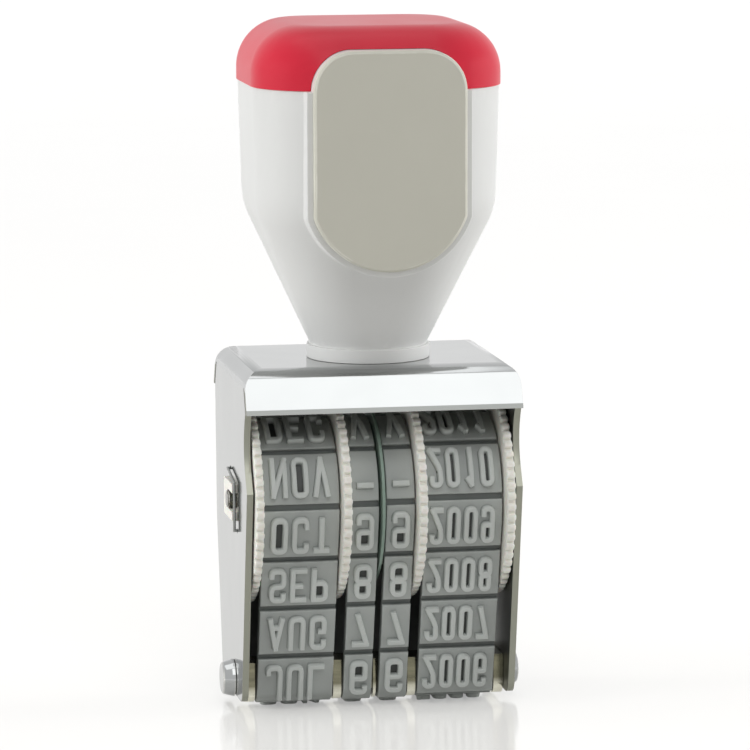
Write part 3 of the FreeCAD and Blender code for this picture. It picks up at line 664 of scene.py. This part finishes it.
# Strokes of each character, as runs through a box one wide and one tall; a run of more than two
# points has its corners rounded off.
glyphs = {
    "A": [[(0, 0), (0.5, 1)], [(0.5, 1), (1, 0)], [(0.15, 0.28), (0.85, 0.28)]],
    "B": [[(0, 0.5), (0, 1), (0.9, 1), (0.9, 0.53), (0, 0.53)], [(0, 0.53), (1, 0.53), (1, 0), (0, 0)],
          [(0, 0), (0, 1)]],
    "C": [[(1, 0.74), (1, 1), (0, 1), (0, 0), (1, 0), (1, 0.26)]],
    "D": [[(0, 0), (0, 1)], [(0, 1), (1, 1), (1, 0), (0, 0)]],
    "E": [[(0, 0), (0, 1)], [(0, 1), (1, 1)], [(0, 0.53), (0.85, 0.53)], [(0, 0), (1, 0)]],
    "F": [[(0, 0), (0, 1)], [(0, 1), (1, 1)], [(0, 0.53), (0.85, 0.53)]],
    "G": [[(1, 0.74), (1, 1), (0, 1), (0, 0), (1, 0), (1, 0.42)], [(0.5, 0.45), (1, 0.45)]],
    "J": [[(1, 1), (1, 0), (0, 0), (0, 0.24)]],
    "L": [[(0, 0), (0, 1)], [(0, 0), (1, 0)]],
    "M": [[(0, 0), (0, 1)], [(0, 1), (0.5, 0.35)], [(0.5, 0.35), (1, 1)], [(1, 1), (1, 0)]],
    "N": [[(0, 0), (0, 1)], [(0, 1), (1, 0)], [(1, 0), (1, 1)]],
    "O": [[(0, 0.5), (0, 1), (1, 1), (1, 0), (0, 0), (0, 0.5)]],
    "P": [[(0, 0), (0, 1)], [(0, 1), (1, 1), (1, 0.45), (0, 0.45)]],
    "R": [[(0, 0), (0, 1)], [(0, 1), (1, 1), (1, 0.48), (0, 0.48)], [(0.45, 0.48), (1, 0)]],
    "S": [[(1, 0.76), (1, 1), (0, 1), (0, 0.53), (1, 0.53), (1, 0), (0, 0), (0, 0.24)]],
    "T": [[(0.5, 0), (0.5, 1)], [(0, 1), (1, 1)]],
    "U": [[(0, 1), (0, 0), (1, 0), (1, 1)]],
    "V": [[(0, 1), (0.5, 0)], [(0.5, 0), (1, 1)]],
    "Y": [[(0, 1), (0.5, 0.48)], [(0.5, 0.48), (1, 1)], [(0.5, 0.48), (0.5, 0)]],
    "0": [[(0, 0.5), (0, 1), (1, 1), (1, 0), (0, 0), (0, 0.5)]],
    "1": [[(0.62, 0), (0.62, 1)], [(0.62, 1), (0.1, 0.8)]],
    "2": [[(0, 0.76), (0, 1), (1, 1), (1, 0.58), (0, 0)], [(0, 0), (1, 0)]],
    "3": [[(0, 0.78), (0, 1), (1, 1), (1, 0.53), (0.4, 0.53)],
          [(0.4, 0.53), (1, 0.53), (1, 0), (0, 0), (0, 0.22)]],
    "4": [[(0.7, 0), (0.7, 1)], [(0.7, 1), (0, 0.25)], [(0, 0.25), (1, 0.25)]],
    "5": [[(1, 1), (0, 1)], [(0, 1), (0, 0.56)], [(0, 0.56), (1, 0.56), (1, 0), (0, 0), (0, 0.22)]],
    "6": [[(1, 0.78), (1, 1), (0, 1), (0, 0), (1, 0), (1, 0.53), (0.5, 0.53)], [(0.5, 0.53), (0, 0.53)]],
    "7": [[(0, 1), (1, 1)], [(1, 1), (0.25, 0)]],
    "8": [[(0.5, 0.55), (0.05, 0.55), (0.05, 1), (0.95, 1), (0.95, 0.55), (0.5, 0.55)],
          [(0.5, 0.47), (0, 0.47), (0, 0), (1, 0), (1, 0.47), (0.5, 0.47)]],
    "9": [[(0, 0.22), (0, 0), (1, 0), (1, 1), (0, 1), (0, 0.47), (0.5, 0.47)], [(0.5, 0.47), (1, 0.47)]],
    "-": [[(0, 0.82), (1, 0.82)]],
}
# Boxes inside a character's closed parts, from left, low to right, high, where painted shade lies.
shadedCounters = {
    "B": [(0, 0.53, 0.9, 1), (0, 0, 1, 0.53)],
    "D": [(0, 0, 1, 1)],
    "O": [(0, 0, 1, 1)],
    "P": [(0, 0.45, 1, 1)],
    "R": [(0, 0.48, 1, 1)],
    "0": [(0, 0, 1, 1)],
    "6": [(0, 0, 1, 0.53)],
    "8": [(0.05, 0.55, 0.95, 1), (0, 0, 1, 0.47)],
    "9": [(0, 0.47, 1, 1)],
}
typeSizes = {
    "tall": 4.0,
    "stroke": 0.6,
    "foot": 0.05,  # what a stroke's foot spreads beyond it at each side
    "top": 0.4,
    "topEdge": (0.05, 0.06),  # the broken edge of a stroke's top, across and down
    "sunk": 0.12,
    "round": 0.55,
    "endReach": 0.2,
    "layer": 0.012,
    # thickness of the painted shade film in the counters
    "counterShade": 0.012,
    "turnSteps": 5,
    "bend": 0.45,
    "weld": 1e-4,
}


def roundedRun(points, radius):  # a run whose inner corners become arcs
    run = [points[0]]
    for before, corner, after in zip(points, points[1:], points[2:]):
        away = [other - corner for other in (before, after)]
        reach = min(radius, *[side.length / 2 for side in away])
        ends = [corner + side.normalized() * reach for side in away]
        for step in range(typeSizes["turnSteps"] + 1):
            part = step / typeSizes["turnSteps"]
            run.append(ends[0] * (1 - part) ** 2 + corner * 2 * part * (1 - part) + ends[1] * part ** 2)
    run.append(points[-1])
    return run


def stretched(points, inner):  # ends at the border of the letter's box run on to a stroke's outer side
    run = list(points)
    for end, beside in ((0, 1), (-1, -2)):
        along = (run[end] - run[beside]).normalized()
        axis = 0 if abs(along.x) > abs(along.y) else 1
        if math.isclose(abs(run[end][axis]), inner[axis] / 2):
            run[end] = run[end] + along * typeSizes["endReach"]
    return run


def strokeCurve(name, flat):
    curve = bpy.data.curves.new(name, "CURVE")
    curve.dimensions = "2D" if flat else "3D"
    curve.twist_mode = "Z_UP"
    return curve


def addRun(curve, run, closed=False):
    spline = curve.splines.new("POLY")
    spline.points.add(len(run) - 1)
    for point, place in zip(spline.points, run):
        point.co = (*place, 1)
    spline.use_cyclic_u = closed


def typeProfile():  # the section of a raised stroke: sloped flanks and a flat, narrower top
    s = typeSizes
    rise = bandSizes["type"] + s["sunk"]
    curve = strokeCurve("type section", True)
    foot = s["stroke"] / 2 + s["foot"]
    head = s["top"] / 2
    across, down = s["topEdge"]
    right = [(head, rise), (head + across, rise - down), (foot, 0)]
    left = [(-x, y) for x, y in reversed(right)]
    addRun(curve, [Vector((x, y, 0)) for x, y in left + right], True)
    holder = bpy.data.objects.new("type section", curve)
    bpy.context.scene.collection.objects.link(holder)
    return holder


def raisedStrokes(character, inner, profile):  # the section is carried along each stroke
    s = typeSizes
    curve = strokeCurve(character, False)
    curve.bevel_mode = "OBJECT"
    curve.bevel_object = profile
    curve.use_fill_caps = True
    # Each stroke's top lies a hair below the last one's, so that crossing strokes never share a face.
    for layer, stroke in enumerate(glyphs[character]):
        placed = [Vector(((x - 0.5) * inner.x, (y - 0.5) * inner.y, -layer * s["layer"])) for x, y in stroke]
        closed = stroke[0] == stroke[-1]
        run = roundedRun(placed if closed else stretched(placed, inner), s["round"])
        addRun(curve, run[:-1] if closed else run, closed)
    holder = bpy.data.objects.new(character, curve)
    bpy.context.scene.collection.objects.link(holder)
    bpy.context.view_layer.update()
    mesh = bpy.data.meshes.new_from_object(holder.evaluated_get(bpy.context.evaluated_depsgraph_get()))
    bpy.data.objects.remove(holder)
    bpy.data.curves.remove(curve)
    bm = bmesh.new()
    bm.from_mesh(mesh)
    bpy.data.meshes.remove(mesh)
    bmesh.ops.remove_doubles(bm, verts=bm.verts, dist=s["weld"])
    return bm


def addCounterShade(bm, character, inner):  # a dark film of painted shade in each closed part, sunk as deep as the strokes
    s = typeSizes
    thick = s["sunk"] + s["counterShade"]
    for left, low, right, high in shadedCounters.get(character, []):
        film = bmesh.ops.create_cube(bm, size=1)["verts"]
        bmesh.ops.scale(bm, vec=((right - left) * inner.x, (high - low) * inner.y, thick), verts=film)
        centre = ((left + right - 1) / 2 * inner.x, (low + high - 1) / 2 * inner.y, thick / 2)
        bmesh.ops.translate(bm, vec=centre, verts=film)


def letter(character, width, profile):  # one raised character, flat, in mm, its middle at the origin
    s = typeSizes
    inner = Vector((width - s["stroke"], s["tall"] - s["stroke"]))
    bm = raisedStrokes(character, inner, profile)
    addCounterShade(bm, character, inner)
    bmesh.ops.recalc_face_normals(bm, faces=bm.faces)
    bends = int(s["tall"] / s["bend"])
    cutAcross(bm, [(i - bends / 2) * s["bend"] for i in range(bends + 1)])
    return bm


def addWord(bm, word, centre, letterPitch, width, along, profile):
    start = centre - letterPitch * (len(word) - 1) / 2
    bottom = bandSizes["belt"] + bandSizes["pad"] - typeSizes["sunk"]
    for index, character in enumerate(word):
        glyph = letter(character, width, profile)
        bmesh.ops.translate(glyph, vec=(start + index * letterPitch, along, bottom), verts=glyph.verts)
        part = bpy.data.meshes.new("part")
        glyph.to_mesh(part)
        glyph.free()
        bm.from_mesh(part)
        bpy.data.meshes.remove(part)


def paddedBelt(low, high):  # the flat band, one pad after another
    bm = newSolid()
    pad = flatPad(low, high)
    padMesh = bpy.data.meshes.new("pad")
    pad.to_mesh(padMesh)
    pad.free()
    for index in range(bandSizes["pads"]):
        first = len(bm.verts)
        bm.from_mesh(padMesh)
        bm.verts.ensure_lookup_table()
        bmesh.ops.translate(bm, vec=(0, -index * pitch, 0), verts=bm.verts[first:])
    bpy.data.meshes.remove(padMesh)
    return bm


def makeBand(node, words, letterPitch, width, shift, creep):
    s = bandSizes
    low, high = [corner.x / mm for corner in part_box(node)]
    bm = paddedBelt(low, high)
    padVerts = len(bm.verts)
    profile = typeProfile()
    for index, word in enumerate(words):
        addWord(bm, word, (low + high) / 2 + shift, letterPitch, width, -index * pitch, profile)
    bpy.data.objects.remove(profile)
    tint = bm.verts.layers.float.new("height")
    for index, vert in enumerate(bm.verts):
        vert[tint] = tintHeight(vert.co.z - s["belt"], index >= padVerts)
        vert.co = onBand(vert.co + Vector((0, creep, 0)))
    bmesh.ops.reverse_faces(bm, faces=bm.faces)
    bm.verts.ensure_lookup_table()
    bmesh.ops.remove_doubles(bm, verts=bm.verts[:padVerts], dist=s["weld"] * mm)
    finishPiece(node + "_dressed", bm, stampBody, [node], smoothAngle=s["smooth"])


# Painted shade goes by this: 0 on the belt, 1 on the type, 0 at a letter's foot, -1 on a counter's film.
def tintHeight(aboveBelt, isType):
    s = bandSizes
    if isType and aboveBelt < s["pad"]:
        return 0.0
    if isType and aboveBelt < s["pad"] + 2 * typeSizes["counterShade"]:
        return -1.0
    return max(0.0, min(1.0, aboveBelt / (s["pad"] + s["type"])))


# Words run from the row at the foot, up the front of the stamp and down its back. Shift moves the
# letters sideways, and creep is how far the band has run round from the middle of the platen.
months = ["JUN", "JUL", "AUG", "SEP", "OCT", "NOV", "DEC", "", "JAN", "FEB", "MAR", "APR", "MAY"]
days = ["5", "6", "7", "8", "9", "-", "V", "", "0", "1", "2", "3", "4"]
firstYear = 2005
years = [str(firstYear + index) for index in range(bandSizes["pads"])]
bands = {
    "month_band": {"words": months, "letterPitch": 2.3, "width": 1.9, "shift": -0.1, "creep": 0.9},
    "day_tens_band": {"words": days, "letterPitch": 1.0, "width": 2.0, "shift": 0.0, "creep": 0.75},
    "day_units_band": {"words": days, "letterPitch": 1.0, "width": 2.0, "shift": 0.0, "creep": 0.65},
    "year_band": {"words": years, "letterPitch": 1.87, "width": 1.55, "shift": -0.25, "creep": 0.35},
}
for node, band in bands.items():
    makeBand(node, **band)
print("bands made")


# The floor, the lights and the camera. The sizes of the floor and the lights are in metres.

def seenRay(tree):  # 1 where the camera or a mirror looks, and 0 where light only bounces
    rays = addNode(tree, "LightPath").outputs
    return addNode(tree, "Math", {}, {0: rays["Is Camera Ray"], 1: rays["Is Glossy Ray"]},
                   operation="MAXIMUM").outputs[0]


# Smooth white acrylic sheet: bright, with a soft mirror image under the object.
floorLook = {
    "cloud": 40.0, "dark": "#DAD9D6", "light": "#DEDDDA", "edge": "#DEDDDA", "wear": 0.0,
    "glow": 0.33,
    "rough": (0.10, 0.14, 30.0),
    "grain": (2.0, 0.0005),
}
floorHalf = 3.0


def paleFloor():
    look = floorLook
    material, tree, place = startMaterial("white acrylic sheet")
    glow = addNode(tree, "Math", {1: look["glow"]}, {0: seenRay(tree)}, operation="MULTIPLY")
    shader = addNode(tree, "BsdfPrincipled", {"IOR": 1.49, "Emission Color": (1, 1, 1, 1)}, {
        "Base Color": wornColour(tree, place, look),
        "Roughness": roughField(tree, place, *look["rough"]),
        "Emission Strength": glow.outputs[0],
        "Normal": fineBump(tree, place, *look["grain"])})
    return endMaterial(material, tree, shader)


def makeFloor():
    bm = bmesh.new()
    bmesh.ops.create_grid(bm, x_segments=2, y_segments=2, size=floorHalf)
    mesh = bpy.data.meshes.new("floor")
    bm.to_mesh(mesh)
    bm.free()
    mesh.materials.append(paleFloor())
    floor = bpy.data.objects.new("floor", mesh)
    bpy.context.scene.collection.objects.link(floor)


worldLook = {"bounced": 0.18, "seen": 1.0, "bouncedTint": (1.0, 0.97, 0.92, 1), "seenTint": (1, 1, 1, 1)}


def makeWorld():
    look = worldLook
    world = bpy.data.worlds.new("studio")
    world.use_nodes = True
    tree = world.node_tree
    tree.nodes.clear()
    seen = seenRay(tree)
    strength = addNode(tree, "MapRange", {"To Min": look["bounced"], "To Max": look["seen"]}, {"Value": seen})
    tint = mixColour(tree, seen, look["bouncedTint"], look["seenTint"])
    back = addNode(tree, "Background", {}, {"Color": tint, "Strength": strength.outputs[0]})
    addNode(tree, "OutputWorld", links={"Surface": back.outputs[0]})
    bpy.context.scene.world = world


lampSide = 0.45
lamps = {  # a lamp that isn't glossy lights the object but isn't mirrored in it
    "left softbox": {"place": (-0.58, 0.0, 0.08), "target": (0, 0, 0.05), "watts": 3.4, "glossy": False},
    "right softbox": {"place": (0.58, 0.0, 0.06), "target": (0, 0, 0.05), "watts": 4.0, "glossy": False},
    "front softbox": {"place": (0.0, -0.42, 0.46), "target": (0, 0, 0.04), "watts": 0.97, "glossy": True},
    "top softbox": {"place": (-0.08, 0.0, 0.62), "target": (0, 0, 0.05), "watts": 0.7, "glossy": True},
}


def makeLamps():
    for name, look in lamps.items():
        light = bpy.data.lights.new(name, "AREA")
        light.shape = "SQUARE"
        light.size = lampSide
        light.energy = look["watts"]
        lamp = bpy.data.objects.new(name, light)
        lamp.location = look["place"]
        lamp.visible_glossy = look["glossy"]
        aim = Vector(look["target"]) - Vector(look["place"])
        lamp.rotation_euler = aim.to_track_quat("-Z", "Y").to_euler()
        bpy.context.scene.collection.objects.link(lamp)


cameraSizes = {
    "place": (-87.8, -493.3, 108.9),
    "target": (0.7, 0.0, 35.9),
    "roll": -0.12,
    "lens": 223.6,
    "sensor": 36,
    "clip": (10, 20000),
}


def makeCamera():
    s = cameraSizes
    data = bpy.data.cameras.new("camera")
    data.sensor_width = s["sensor"]
    data.lens = s["lens"]
    data.clip_start, data.clip_end = [distance * mm for distance in s["clip"]]
    camera = bpy.data.objects.new("camera", data)
    place = Vector(s["place"]) * mm
    aim = Vector(s["target"]) * mm - place
    turn = aim.to_track_quat("-Z", "Y").to_matrix() @ Matrix.Rotation(math.radians(s["roll"]), 3, "Z")
    camera.location = place
    camera.rotation_euler = turn.to_euler()
    bpy.context.scene.collection.objects.link(camera)
    bpy.context.scene.camera = camera


makeFloor()
makeWorld()
makeLamps()
makeCamera()
bpy.context.scene.view_settings.view_transform = "Standard"
print("stage made")
